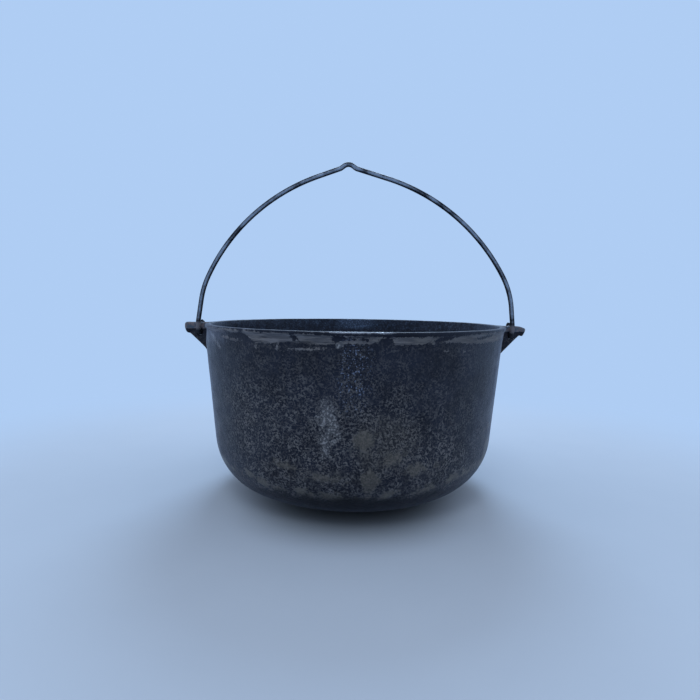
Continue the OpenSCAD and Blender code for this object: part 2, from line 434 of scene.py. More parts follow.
def read_normals(mesh):
    values = np.zeros(len(mesh.vertices) * 3, np.float32)
    mesh.vertex_normals.foreach_get("vector", values)
    return values.reshape(-1, 3).astype(float)


def noise_at(points, size, seed=0.0):
    """Smooth noise from -1 to 1 at each point, with features of about that size."""
    return np.array([noise.noise(Vector(p) / size + Vector((seed, -seed, seed))) for p in points])


points = read_points(cauldron.data)
normals = read_normals(cauldron.data)
waves = 0.5 + 0.5 * noise_at(points, broad)
lumps = 0.5 + 0.5 * noise_at(points, lumpy, 3.7)
sunk_in = (0.22 * waves + 0.12 * lumps) * mm
points -= normals * sunk_in[:, None]
cauldron.data.vertices.foreach_set("co", points.astype(np.float32).ravel())
cauldron.data.polygons.foreach_set("use_smooth", [True] * len(cauldron.data.polygons))
cauldron.data.update()
print("moved inwards by %.2f to %.2f mm" % (sunk_in.min() / mm, sunk_in.max() / mm))

# %% [markdown]
# ## Where the marks are
#
# The finish of an old pot is a map of its use: dried residue under the rim, a chalky run down
# the front, bare metal where lids and spoons rub, soot below. Some marks are painted light and
# shade instead: sheen on the flanks and inside, glints and a highlight on the front, and shade on
# the lip. Each mark is written as a number on every point of the mesh: how far the point is inside
# the mark, in millimetres. The finish then adds fine noise and cuts at zero, so the edges come out
# ragged and sharp, however coarse the mesh is. Places are given as an angle from the front and a
# depth below the rim.

# %% Places on the cauldron
angle = np.degrees(np.arctan2(points[:, 0], -points[:, 1]))
radius = np.hypot(points[:, 0], points[:, 1])
depth = (bowl_h - points[:, 2]) / mm
over_centre = points - np.array([0, 0, 1.4 * bowl_h])
outer = (np.sum(normals * over_centre, axis=1) > 0) | (radius > rim_r - 1.2 * mm)
off_wall = radius - wall_line(line_r, points[:, 2])
on_ear = (radius > rim_r + 0.4 * mm) | ((np.abs(points[:, 1]) < 5 * mm) & (off_wall > 2.6 * mm))
broken = noise_at(points, 14 * mm, 8.1)
drift = noise_at(points, 40 * mm, 5.3)
nowhere = -20.0


def mark(name, values):
    """Writes one number per point, for the finish to read."""
    layer = cauldron.data.attributes.new(name, "FLOAT", "POINT")
    layer.data.foreach_set("value", np.asarray(values, np.float32))
    print("mark %-8s covers %4.1f%% of the points" % (name, 100 * np.mean(values > 0)))


def patch(at_angle, at_depth, half_w, half_h, tilt=0.0):
    """How far each point lies inside an oval patch, in millimetres. Tilt is in degrees."""
    turn = (angle - at_angle + 180) % 360 - 180
    u = np.radians(turn) * rim_r / mm
    v = depth - at_depth
    c, s = math.cos(math.radians(tilt)), math.sin(math.radians(tilt))
    a, b = (u * c + v * s) / half_w, (v * c - u * s) / half_h
    return (1 - np.hypot(a, b)) * min(half_w, half_h)


def soft(values, low, high):
    """0 below low, 1 above high and smooth in between."""
    t = np.clip((values - low) / (high - low), 0, 1)
    return t * t * (3 - 2 * t)


# %% Dried residue under the rim
left_side = [(-80, 4.6), (-60, 5), (-42, 4), (-39, 3), (-36, 7), (-33, 10.4), (-27, 10.2), (-21, 8.4)]
middle = [(-14, 9.6), (-8, 9.4), (-5, 8.4), (0, 9), (6, 8.6), (8, 8), (11, 9.4), (17, 9.4), (24, 8.8)]
right_side = [(27, 8.2), (38, 9.6), (50, 10.4), (59, 10.2), (66, 9), (80, 7)]
lower_edge = np.interp(angle, *zip(*(left_side + middle + right_side)))
top_line = [(-44, 0.8), (-38, 1.4), (-14, 1.8), (-9, 2.6), (4, 2.6), (10, 3.4), (36, 3.2), (44, 2), (80, 1.4)]
upper_edge = np.interp(angle, *zip(*top_line))
elsewhere = soft(np.abs(angle), 70, 90)
lower_edge = lower_edge * (1 - elsewhere) + (7 + 7 * drift) * elsewhere
band = np.minimum(lower_edge - depth, depth - upper_edge)
gaps = [
    (-18.9, 5.4, 3.4, 1.7, 30),
    (-5.2, 5.2, 4.9, 2.4),
    (8.7, 7.2, 5.2, 2.3),
    (28.3, 5.3, 11, 1.3, -11),
    (-24, 10.6, 7, 0.9, -6),
    (48, 5.2, 9, 0.8, -4),
    (0, 5.4, 7, 0.5, 3),
]
for gap in gaps:
    band = np.minimum(band, -patch(*gap))
blots = [
    (-47, 8.4, 15, 1.6, 4),
    (-15, 12.9, 19, 1.2, -2),
    (-33, 11.6, 1.8, 2.8, 20),
    (-25, 12.2, 1.8, 2.9, -30),
    (-27.3, 19.3, 2.4, 0.8),
    (-23.3, 18.6, 3.0, 0.8),
    (24.9, 21.6, 3.5, 0.8, 5),
    (30, 14.2, 6, 0.8, 5),
    (37, 15.5, 3.5, 0.9, 5),
    (57, 16, 2.4, 1.0),
]
for blot in blots:
    band = np.maximum(band, patch(*blot))
scatter = random.Random(11)
for count in range(26):
    turn, low = scatter.uniform(85, 275), scatter.uniform(6, 20)
    size = scatter.uniform(2, 9), scatter.uniform(1, 3)
    band = np.maximum(band, patch(turn, low, *size, scatter.uniform(-20, 20)))
mark("residue", np.where(outer & ~on_ear, band, nowhere))
mark("aged", soft(angle, 6, 30))

# %% Pale places beside the ears, mostly painted sheen, and the faces of the bars
# Painted sheen: the large pale patches on the flanks beside the ears, under the left curl and on the back
# stand in for light caught where the sides turn away. The two small drips at the front are pale marks on the
# iron.
pale = np.maximum(patch(80, 16, 26, 26) + 3, patch(68, 50, 14, 70) + 1)
pale = np.maximum(pale, np.maximum(patch(-68, 6, 34, 8) + 6, patch(-70, 74, 15, 76) + 1))
pale = np.maximum(pale, patch(128, 60, 20, 50) - 4)
for place in [(-2.6, 12.9, 3.2, 0.9), (4.1, 12.3, 4.2, 0.8, -12)]:
    drip = patch(*place)
    pale = np.maximum(pale, np.where(drip > 0, drip + 4, nowhere))
mark("pale", np.where(outer & ~on_ear, pale, nowhere))
over_web = (depth < 6.5 - 0.7 * (angle > 0)) & (np.abs(points[:, 1]) > web_t / 2)
mark("bar_face", np.where(on_ear & over_web, 3.0, nowhere))

# %% Chalky run, cloud and rings low on the belly
run = np.maximum(patch(-9.0, 61, 8, 12, 4), patch(-9.8, 82, 6, 12))
run = np.maximum(run, patch(-7.6, 67, 6, 17, -4))
drips = [(-65, 4.5, 8, 1.1, 28), (-59, 9, 9, 1.1, 28), (-69, 9, 8, 1, 28), (-55, 12.5, 6, 1, 28)]
for drip in drips:
    run = np.maximum(run, 4 * patch(*drip) + 2.5)
flake = patch(-5.2, 9.6, 4.2, 3.2, -30)
run = np.maximum(run, np.where(flake > 0, flake + 4, nowhere))
mark("chalk", np.where(outer, run, nowhere))
smudges = [(2.6, 78, 9, 8), (-10.9, 108, 17, 3.4, 4), (5.2, 110, 8, 10), (21, 103, 10, 5)]
smudges += [(2, 124, 18, 1.4, -3), (-24, 101, 12, 4, 12), (30, 101, 7, 2.6), (13, 92, 9, 5, -15)]
smudge = np.full(len(points), nowhere)
for place in smudges:
    smudge = np.maximum(smudge, patch(*place))
for count in range(12):
    turn, low = scatter.uniform(60, 300), scatter.uniform(70, 116)
    smudge = np.maximum(smudge, patch(turn, low, scatter.uniform(7, 18), scatter.uniform(3, 8)))
mark("smudge", np.where(outer, smudge, nowhere))
# Painted glints: bluish dots high on the front stand in for reflected light.
mark("glint", np.where(outer, patch(-0.6, 30, 15, 34, 3), nowhere))
cloud = np.maximum(patch(10, 82, 30, 26, 0), patch(22, 104, 24, 9, 10))
cloud = np.maximum(cloud, patch(-12, 108, 34, 8, 0))
for count in range(9):
    turn, low = scatter.uniform(60, 300), scatter.uniform(55, 110)
    size = scatter.uniform(14, 34), scatter.uniform(10, 24)
    cloud = np.maximum(cloud, patch(turn, low, *size, scatter.uniform(-25, 25)))
mark("cloud", np.where(outer, cloud, nowhere))
rings = 3.2 - np.abs(depth - 119 - 3.5 * drift - 5 * np.cos(np.radians(angle * 3)))
mark("rings", np.where(outer & (depth > 90), rings, nowhere))

# %% Bare metal with a painted highlight, soot with painted shade on the lip, painted sheen, and rust
# The bead is painted as bare metal, most at the front centre, where it is a painted highlight as well as
# wear.
bead = 0.8 - np.abs(depth - 0.6)
shine = bead + 1.1 * soft(-np.abs(angle + 1), -20, -6) + 0.9 * broken - 0.9
ear_edge = 0.6 - depth + 1.2 * broken
on_rim = radius > mouth_r - 0.5 * mm
mark("bare_and_highlight", np.where(radius > rim_r + 1 * mm, ear_edge, np.where(on_rim, shine, nowhere)))
under = soft(depth, 112, 140) * 14 - 4 + 3 * broken
# Painted shade: the top of the lip on the left is painted as dark as the soot.
shaded_lip_top = patch(-78, 0, 46, 30) * (np.abs(depth) < 0.9) * (radius < rim_r - 0.8 * mm)
mark("soot_and_shade", np.where(outer & ~on_ear, np.maximum(under, np.where(shaded_lip_top > 0, 6, nowhere)), nowhere))
recess = (np.abs(points[:, 1]) < web_t / 2 + 1.2 * mm) & (depth > bar_t / mm)
mark("rust", np.where(on_ear & recess, 1.0, np.where(on_ear, -3.0, -8.0)))
flanks = soft(np.abs(angle), 38, 60) * (1 - elsewhere)
freckle = 0.36 + 0.64 * soft(depth, 18, 70)
freckle *= soft(depth, 3, 14) * (1 - 0.7 * soft(depth, 124, 138)) * (1 - 0.62 * flanks)
freckle *= 1 - 0.35 * soft(patch(26, 44, 30, 40), -6, 14)
freckle *= 1 - 0.50 * soft(patch(42, 60, 28, 36), -4, 12)
mark("flecks", np.where(outer, freckle, 0.35 * soft(depth, 2, 30)))
# Painted sheen inside: a bluish reflection on the far wall, and the inside painted lighter near the rim,
# fading downwards.
sheen = np.maximum(patch(179, 5, 30, 8), 0.4 - 0.05 * depth)
mark("sheen", np.where(outer, nowhere, sheen))

# %% [markdown]
# ## Out of true
#
# Old castings are seldom quite round, because damp sand gives a little under the weight of the
# iron. This one bulges on its left side, below the curl, by half the thickness of its wall. Both
# skins move the same way, so the wall stays as thick as it was. The move comes after the marks,
# so that they are placed on the true bowl.

# %% Bulge on the left side
bulge = 2.4 * mm
knee_z = belly_r - (belly_r - knee_r) * math.cos(belly_slope)
share = soft(np.cos(np.radians(angle + 80)), 0.3, 0.95) * soft(depth, 2, 16)
share *= soft(points[:, 2] / mm, 1, 22) * (1 - soft(off_wall / mm, 2.5, 9))
downwards = np.clip((knee_z - points[:, 2]) / knee_r, 0, 1)
outwards = np.sqrt(1 - downwards**2) / np.maximum(radius, 1 * mm)
way = np.stack([points[:, 0] * outwards, points[:, 1] * outwards, -downwards], axis=1)
moved = points + way * (bulge * share)[:, None]
cauldron.data.vertices.foreach_set("co", moved.astype(np.float32).ravel())
cauldron.data.update()
print("bulged by up to %.2f mm" % (bulge * share.max() / mm))

# %% [markdown]
# ## Helpers for a finish
#
# A finish is a network of nodes. Named helpers keep the recipe readable: each adds one node and
# returns its output, so a finish reads like a sum. Positions come from the object itself, in
# metres, so that the grain has a real size and stays with the piece when it moves.

# %% A finish and its nodes
class Finish:
    """A material under construction."""

    def __init__(self, name):
        self.material = bpy.data.materials.new(name)
        self.material.use_nodes = True
        self.tree = self.material.node_tree
        self.shader = self.tree.nodes["Principled BSDF"]
        self.place = self.tree.nodes.new("ShaderNodeTexCoord").outputs["Object"]

    def put(self, value, socket):
        """Links a node's output to a socket, or writes a plain value into it."""
        if isinstance(value, bpy.types.NodeSocket):
            self.tree.links.new(value, socket)
        else:
            socket.default_value = value

    def math(self, operation, a, b=0.0, clamp=False):
        node = self.tree.nodes.new("ShaderNodeMath")
        node.operation = operation
        node.use_clamp = clamp
        self.put(a, node.inputs[0])
        self.put(b, node.inputs[1])
        return node.outputs[0]

    def mix(self, share, a, b):
        """Colour a where share is 0 and colour b where it is 1."""
        node = self.tree.nodes.new("ShaderNodeMix")
        node.data_type = "RGBA"
        self.put(share, node.inputs["Factor"])
        for value, socket in ((a, node.inputs[6]), (b, node.inputs[7])):
            self.put((*value, 1.0) if isinstance(value, tuple) else value, socket)
        return node.outputs[2]

    def step(self, value, low, high, out_low=0.0, out_high=1.0):
        """out_low where value is below low, out_high above high, smooth in between."""
        node = self.tree.nodes.new("ShaderNodeMapRange")
        node.interpolation_type = "SMOOTHSTEP"
        sizes = (value, low, high, out_low, out_high)
        for number, socket in zip(sizes, node.inputs):
            self.put(number, socket)
        return node.outputs[0]

    def stretched(self, x, y, z):
        """The place on the piece with each direction scaled, for grain that runs one way."""
        node = self.tree.nodes.new("ShaderNodeMapping")
        node.inputs["Scale"].default_value = (x, y, z)
        self.put(self.place, node.inputs["Vector"])
        return node.outputs[0]

    def noise(self, size, detail=2.0, rough=0.5, at=None):
        node = self.tree.nodes.new("ShaderNodeTexNoise")
        node.inputs["Scale"].default_value = 1 / size
        node.inputs["Detail"].default_value = detail
        node.inputs["Roughness"].default_value = rough
        self.put(self.place if at is None else at, node.inputs["Vector"])
        return node.outputs["Fac"]

    def pebbles(self, size, at=None):
        """Distance to the nearest of many scattered points, 0 at each point."""
        node = self.tree.nodes.new("ShaderNodeTexVoronoi")
        node.inputs["Scale"].default_value = 1 / size
        self.put(self.place if at is None else at, node.inputs["Vector"])
        return node.outputs["Distance"]

    def worms(self, size, width, detail=1.0):
        """1 along crooked lines, which are the level lines of a noise, and 0 beside them."""
        far = self.math("ABSOLUTE", self.math("SUBTRACT", self.noise(size, detail), 0.5))
        return self.step(far, 0.25 * width, width, 1.0, 0.0)

    def mark(self, name):
        node = self.tree.nodes.new("ShaderNodeAttribute")
        node.attribute_name = name
        return node.outputs["Fac"]

    def spread(self, name, edge, reach, rag=9.0, fine=3.0):
        """How much of a mark shows: its distance, roughened and then cut at its edge."""
        rough = self.math("MULTIPLY", self.math("SUBTRACT", self.noise(4.5 * mm, 5.0, 0.65), 0.5), rag)
        grain = self.math("MULTIPLY", self.math("SUBTRACT", self.noise(1.6 * mm, 3.0, 0.6), 0.5), fine)
        inside = self.math("ADD", self.mark(name), self.math("ADD", rough, grain))
        return self.step(inside, edge, edge + reach)

    def finish(self, colour, roughness, metal=0.0, height=None, bump=0.3 * mm):
        self.put(colour, self.shader.inputs["Base Color"])
        self.put(roughness, self.shader.inputs["Roughness"])
        self.put(metal, self.shader.inputs["Metallic"])
        if height is not None:
            node = self.tree.nodes.new("ShaderNodeBump")
            node.inputs["Strength"].default_value = 1.0
            node.inputs["Distance"].default_value = bump
            self.put(height, node.inputs["Height"])
            self.put(node.outputs[0], self.shader.inputs["Normal"])
        print("finish", self.material.name, "has", len(self.tree.nodes), "nodes")
        return self.material


# %% [markdown]
# ## The finish of the iron
#
# Old cast iron is nearly black, with a blue cast where the seasoning is thin. Its skin has the
# print of the sand: a close net of short crooked ridges, rubbed pale where they stand proud. Over
# that come the marks from the map above. Each layer is a colour and a share between 0 and 1, laid
# over the last one, so the order below is the order in which the pot got them.

# %% Skin of the iron
iron = Finish("old_cast_iron")
coal = (0.0040, 0.0055, 0.0130)
slate = (0.0105, 0.0145, 0.0290)
colour = iron.mix(iron.step(iron.noise(30 * mm, 3.0, 0.6), 0.35, 0.68), coal, slate)
run_grain = iron.noise(9 * mm, 3.0, 0.6, iron.stretched(1.0, 1.0, 0.16))
colour = iron.mix(iron.step(run_grain, 0.5, 0.72, 0.0, 0.6), colour, slate)

ridges = iron.worms(2.6 * mm, 0.05, 1.5)
grain = iron.step(iron.noise(1.65 * mm, 1.5, 0.6), 0.51, 0.60)
clumps = iron.step(iron.noise(5.5 * mm, 2.0, 0.6), 0.36, 0.56, 0.3, 1.0)
patchy = iron.step(iron.noise(14 * mm, 3.0, 0.65), 0.34, 0.64)
flecked = iron.math("MAXIMUM", grain, iron.math("MULTIPLY", ridges, 0.8))
flecked = iron.math("MULTIPLY", flecked, clumps)
flecked = iron.math("MULTIPLY", flecked, iron.step(patchy, 0.0, 1.0, 0.68, 1.0))
flecked = iron.math("MULTIPLY", flecked, iron.mark("flecks"))
colour = iron.mix(iron.math("MULTIPLY", flecked, 0.92), colour, (0.170, 0.172, 0.180))

# %% Marks on the iron
thin = iron.step(grain, 0.0, 1.0, 0.3, 1.0)
smooth = iron.step(grain, 0.0, 1.0, 0.72, 1.0)
cloudy = iron.math("MULTIPLY", iron.spread("cloud", -3, 14, 26), thin)
colour = iron.mix(iron.math("MULTIPLY", cloudy, 0.48), colour, (0.125, 0.121, 0.112))
ringed = iron.math("MULTIPLY", iron.spread("rings", -2, 4, 16), iron.step(patchy, 0.2, 0.9))
colour = iron.mix(iron.math("MULTIPLY", ringed, 0.75), colour, (0.145, 0.141, 0.128))
smudged = iron.math("MULTIPLY", iron.spread("smudge", -1, 4, 13, 4), smooth)
colour = iron.mix(iron.math("MULTIPLY", smudged, 0.72), colour, (0.142, 0.136, 0.122))
chalky = iron.math("MULTIPLY", iron.spread("chalk", -1, 6, 22, 8), thin)
colour = iron.mix(iron.math("MULTIPLY", chalky, 0.90), colour, (0.300, 0.315, 0.340))
# Painted glints of reflected light, high on the front.
glints = iron.step(iron.noise(1.25 * mm, 1.0), 0.61, 0.70)
glints = iron.math("MULTIPLY", glints, iron.spread("glint", -2, 12, 10))
colour = iron.mix(iron.math("MULTIPLY", glints, 0.85), colour, (0.20, 0.26, 0.40))

flat = iron.stretched(0.3, 0.3, 2.6)
cracks = iron.step(iron.noise(6 * mm, 3.0, 0.6, flat), 0.34, 0.42)
whole = iron.step(cracks, 0.0, 1.0, 0.3, 1.0)
crust = iron.math("MULTIPLY", iron.spread("residue", 0.0, 0.7, 4.0, 3.0), whole)
taupe = iron.mix(iron.noise(26 * mm, 2.0), (0.190, 0.204, 0.245), (0.190, 0.176, 0.160))
layers = iron.step(iron.noise(5 * mm, 4.0, 0.65, flat), 0.40, 0.60)
crust_colour = iron.mix(layers, (0.100, 0.104, 0.120), taupe)
crust_colour = iron.mix(iron.math("MULTIPLY", iron.mark("aged"), 0.45), crust_colour, (0.085, 0.085, 0.085))
colour = iron.mix(iron.math("MULTIPLY", crust, 0.92), colour, crust_colour)
# Pale patches, mostly painted sheen, broken up by the grain.
paled = iron.math("MULTIPLY", iron.spread("pale", -1, 13, 18, 6), iron.step(grain, 0.0, 1.0, 0.5, 1.0))
colour = iron.mix(iron.math("MULTIPLY", paled, 0.54), colour, (0.170, 0.195, 0.270))
faces = iron.mix(iron.step(iron.noise(3.5 * mm, 3.0), 0.4, 0.6), (0.105, 0.140, 0.190), (0.215, 0.185, 0.200))
colour = iron.mix(iron.math("MULTIPLY", iron.spread("bar_face", -1, 3, 5), 0.9), colour, faces)
# Soot under the bowl, and painted shade on the top of the left lip.
colour = iron.mix(iron.math("MULTIPLY", iron.spread("soot_and_shade", 0, 6, 10), 0.85), colour, (0.005, 0.006, 0.009))
colour = iron.mix(iron.math("MULTIPLY", iron.spread("rust", 0, 2.5, 6), 0.5), colour, (0.034, 0.020, 0.020))
# Painted sheen inside the bowl, bluish, broken up by the grain.
seen_blue = iron.math("MULTIPLY", iron.spread("sheen", -2, 6, 8), iron.step(grain, 0.0, 1.0, 0.35, 1.0))
colour = iron.mix(iron.math("MULTIPLY", seen_blue, 0.8), colour, (0.110, 0.180, 0.320))
# Bare metal, and at the front of the bead a painted highlight.
bare_and_highlight = iron.spread("bare_and_highlight", 0.0, 0.8, 2.0, 1.4)
colour = iron.mix(iron.math("MULTIPLY", bare_and_highlight, 0.75), colour, (0.24, 0.25, 0.28))

# %% Gloss and relief of the iron
roughness = iron.step(iron.noise(11 * mm, 3.0, 0.6), 0.3, 0.7, 0.40, 0.56)
roughness = iron.math("ADD", roughness, iron.math("MULTIPLY", flecked, 0.12))
roughness = iron.math("ADD", roughness, iron.math("MULTIPLY", crust, 0.2))
roughness = iron.math("SUBTRACT", roughness, iron.math("MULTIPLY", bare_and_highlight, 0.2), clamp=True)
relief = iron.math("MULTIPLY", iron.noise(1.3 * mm, 3.0, 0.6), 0.7)
relief = iron.math("ADD", relief, iron.math("MULTIPLY", iron.noise(5 * mm, 3.0, 0.55), 0.6))
relief = iron.math("ADD", relief, iron.math("MULTIPLY", flecked, 0.22))
relief = iron.math("ADD", relief, iron.math("MULTIPLY", crust, 0.6))
iron.shader.inputs["Specular IOR Level"].default_value = 0.18
iron.shader.inputs["Sheen Weight"].default_value = 0.19
iron.shader.inputs["Sheen Roughness"].default_value = 0.35
iron.shader.inputs["Sheen Tint"].default_value = (0.60, 0.72, 1.0, 1.0)
cauldron.data.materials.clear()
cauldron.data.materials.append(
    iron.finish(colour, roughness, iron.math("MULTIPLY", bare_and_highlight, 0.6), relief, 0.5 * mm)
)

# %% [markdown]
# ## The bail
#
# The bail is one length of round wire. It leans in from the ears, bends over a long arch and
# comes to a small peak that keeps a hook in the middle. Each end runs down in front of its ear,
# turns under the bar and comes up behind it. A maker lays this out as straight stretches with a
# bend radius at each corner, and so does this cell. Use has bent it a little to one side.

# %% Corners of the bail
peak = np.array([-8 * mm, 145.2 * mm + bar_t / 2])
peak_half = 7 * mm
peak_rise = 5.2 * mm
peak_bend = 6.6 * mm
leg_len = 31.2 * mm
leg_bend = 76 * mm
hook_rise = 3.5 * mm
foot_bend = 6 * mm
tip_rise = 1.8 * mm
tip_bend = 3 * mm


def unit(v):
    return np.asarray(v, float) / np.linalg.norm(v)


def bend_take(before, here, after, r):
    """Length of straight that a bend uses up on each side of its corner."""
    turn = math.acos(np.dot(unit(here - before), unit(after - here)))
    return r * math.tan(turn / 2)


def half_bail(side, lean, steep, slope):
    """Corners and bend radii of one half, from the ear to the peak's shoulder."""
    foot = np.array([side * hook_x, hook_rise + foot_bend * math.tan(lean / 2)])
    leg = foot + leg_len * np.array([-side * math.sin(lean), math.cos(lean)])
    shoulder = peak + np.array([side * peak_half, -peak_rise])
    up = np.array([-side * math.cos(steep), math.sin(steep)])
    down = np.array([side * math.cos(slope), -math.sin(slope)])
    gap = shoulder - leg
    arch = leg + up * (gap[0] * down[1] - gap[1] * down[0]) / (up[0] * down[1] - up[1] * down[0])
    leg_take = bend_take(foot, leg, arch, leg_bend)
    peak_take = bend_take(arch, shoulder, peak, peak_bend)
    room = min(np.linalg.norm(arch - leg) - leg_take, np.linalg.norm(shoulder - arch) - peak_take)
    arch_bend = room / math.tan((steep - slope) / 2)
    corners = [(foot, foot_bend), (leg, leg_bend), (arch, arch_bend), (shoulder, peak_bend)]
    return [(np.array([side * hook_x, 0.0]), 0.0)] + corners


# %% Line of the bail
def rounded(corners, step):
    """Points along a line of corners, each with its bend radius."""
    line = [corners[0][0]]
    for (before, _), (here, r), (after, _) in zip(corners, corners[1:], corners[2:]):
        a, b = unit(here - before), unit(after - here)
        turn = math.acos(np.clip(np.dot(a, b), -1, 1))
        side = math.copysign(1, a[0] * b[1] - a[1] * b[0])
        middle = here - a * r * math.tan(turn / 2) + side * r * np.array([-a[1], a[0]])
        start = math.atan2(a[1], a[0]) - side * math.pi / 2
        steps = max(4, round(r * turn / step))
        for t in np.linspace(start, start + side * turn, steps + 1):
            line.append(middle + r * np.array([math.cos(t), math.sin(t)]))
    return line + [corners[-1][0]]


def filled(line, step):
    """The same line with its long straights cut into short ones."""
    made = [line[0]]
    for a, b in zip(line, line[1:]):
        pieces = max(1, round(np.linalg.norm(b - a) / step))
        made += [a + (b - a) * (k + 1) / pieces for k in range(pieces)]
    return made


def hook(side, tip_len, tip_lean):
    """From the front foot, under the bar and up behind it to the cut tip."""
    under_bar = [(side * hook_x, hook_r * math.cos(t), hook_r * math.sin(t))
                 for t in np.linspace(math.pi, 2 * math.pi, 24)]
    start = np.array([side * hook_x, 0.0])
    turn = start + np.array([0, tip_rise + tip_bend * math.tan(tip_lean / 2)])
    rest = tip_bend * math.tan(tip_lean / 2) + tip_len
    end = turn + rest * np.array([-side * math.sin(tip_lean), math.cos(tip_lean)])
    back = rounded([(start, 0), (turn, tip_bend), (end, 0)], 0.8 * mm)[1:]
    return under_bar + [(x, hook_r, z) for x, z in back]


left = half_bail(-1, math.radians(9), math.radians(65), math.radians(19.5))
right = half_bail(1, math.radians(5.8), math.radians(61), math.radians(16.5))
span = rounded(left + [(peak, peak_bend)] + right[::-1], 1.2 * mm)[1:-1]
arch = [(x, -hook_r, z) for x, z in span]
bail_line = hook(-1, 0.2 * mm, math.radians(45))[::-1] + arch + hook(1, 4.4 * mm, math.radians(-10))
bail_line = np.array(filled([np.array(p, float) for p in bail_line], 1.4 * mm))
bail_line[:, 2] += hinge_z
wire_length = np.linalg.norm(np.diff(bail_line, axis=0), axis=1).sum()
print("bail: %.0f mm of wire, %d rings" % (wire_length / mm, len(bail_line)))

# %% [markdown]
# ## Sweeping the wire
#
# A curve with a round bevel would give the tube in one line. Sweeping the rings by hand takes a
# few more, and in return the wire can be a little out of round, its cut ends can be pinched by
# the shears, and each point can carry marks: whether it faces front or back, where the wire is
# painted lighter as a highlight and as wear, whether it rubs on the ears, and whether it lies in
# shade, where it is painted near black.

# %% Wire
sides = 24
seen_r = 0.955 * wire_r


def swept(line):
    """Rings round a line, each square to it and not twisted against the last."""
    ways = [unit(line[min(i + 1, len(line) - 1)] - line[max(i - 1, 0)]) for i in range(len(line))]
    across = np.array([0.0, 1.0, 0.0])
    rings = []
    for i, (here, way) in enumerate(zip(line, ways)):
        across = unit(across - np.dot(across, way) * way)
        third = np.cross(way, across)
        thick = seen_r * (1 - 0.006 * (1 + noise.noise(Vector(here) / (11 * mm))))
        end = min(i, len(line) - 1 - i)
        thick *= (0.55, 0.87, 0.98)[end] if end < 3 else 1.0
        pinch = 0.82 if end == 0 else 1.0
        for k in range(sides):
            t = 2 * math.pi * k / sides
            rings.append(here + thick * (math.cos(t) * across * pinch + math.sin(t) * third))
    return np.array(rings)


rings = swept(bail_line)
count = len(bail_line)
tube = [
    (i * sides + k, i * sides + (k + 1) % sides, (i + 1) * sides + (k + 1) % sides, (i + 1) * sides + k)
    for i in range(count - 1)
    for k in range(sides)
]
caps = [tuple(range(sides))[::-1], tuple((count - 1) * sides + k for k in range(sides))]
bail = closed_mesh("bail_wire", rings, tube + caps)
bail.data.polygons.foreach_set("use_smooth", [True] * len(tube) + [False] * 2)

out_way = rings - np.array([0, 0, hinge_z + 40 * mm])
out_way[:, 1] = 0
middle = np.repeat(bail_line, sides, axis=0)
facing = np.sum((rings - middle) * out_way, axis=1)
facing /= np.linalg.norm(rings - middle, axis=1) * np.linalg.norm(out_way, axis=1)
# Crest: how much a point faces front or back. The finish paints it lighter there, partly as wear and partly
# as a painted highlight.
crest = 0.95 * np.abs(rings - middle)[:, 1] / seen_r - 0.08 * facing
over_hinge = (rings[:, 2] - hinge_z) / mm
hooked = soft(-over_hinge, -4.4, -2.8)
# Painted shade: the wire is painted near black under and behind the bars, and just above them, where it lies
# in shade.
below = np.maximum(soft(-over_hinge, 2.8, 4.2), soft(rings[:, 1] / mm, 2, 4))
below = np.maximum(below, soft(over_hinge, 3.0, 4.0) * soft(-over_hinge, -6.6, -5.0))
for name, values in (("crest", crest), ("hooked", hooked), ("below", below)):
    layer = bail.data.attributes.new(name, "FLOAT", "POINT")
    layer.data.foreach_set("value", np.asarray(values, np.float32))
print("wire:", len(bail.data.polygons), "faces")

# %% [markdown]
# ## The finish of the wire
#
# Drawn steel wire that has gone brown-black over fires: a dark scale, lighter grey metal along its
# front and back that is partly wear and partly a painted highlight, dull where the hooks rub on the
# ears, and painted near black as shade where it runs under, behind and just above the bars.

# %% Wire finish
steel = Finish("dark_steel_wire")
drawn = steel.noise(12 * mm, 4.0, 0.6)
pits = steel.noise(1.1 * mm, 3.0, 0.6)
scatter = steel.math("MULTIPLY", steel.math("SUBTRACT", drawn, 0.5), 1.1)
# Front and back of the wire painted lighter: partly wear, partly a painted highlight.
wear_and_highlight = steel.step(steel.math("ADD", steel.mark("crest"), scatter), 0.66, 1.04)
colour = steel.mix(wear_and_highlight, (0.008, 0.013, 0.024), (0.24, 0.28, 0.345))
colour = steel.mix(steel.step(pits, 0.52, 0.72, 0.0, 0.5), colour, (0.02, 0.024, 0.032))
rub = steel.math("MULTIPLY", steel.mark("hooked"), steel.step(steel.noise(3 * mm, 4.0, 0.6), 0.25, 0.5))
colour = steel.mix(steel.math("MULTIPLY", rub, 0.9), colour, (0.165, 0.158, 0.180))
# Painted shade: near black where the wire lies in shade.
colour = steel.mix(steel.math("MULTIPLY", steel.mark("below"), 0.9), colour, (0.010, 0.012, 0.017))
roughness = steel.step(wear_and_highlight, 0.0, 1.0, 0.42, 0.3)
dull = steel.math("MAXIMUM", rub, steel.mark("below"))
roughness = steel.math("ADD", roughness, steel.math("MULTIPLY", dull, 0.35), clamp=True)
metal = steel.math("MULTIPLY", wear_and_highlight, steel.step(dull, 0.0, 1.0, 0.85, 0.0))
steel.shader.inputs["Specular IOR Level"].default_value = 0.12
bail.data.materials.append(steel.finish(colour, roughness, metal, steel.math("ADD", pits, drawn), 0.1 * mm))

# %% [markdown]
# ## Floor, backdrop and light
#
# The cauldron stands on a plain pale floor that fades into a pale backdrop, with a soft patch of
# painted shadow on the floor in front of the bowl. The world is soft, a little brighter at both
# sides and darker low in front, which deepens the shadow under the bowl. One large lamp behind
# lights the rim, and one in front gives the wire its highlight.

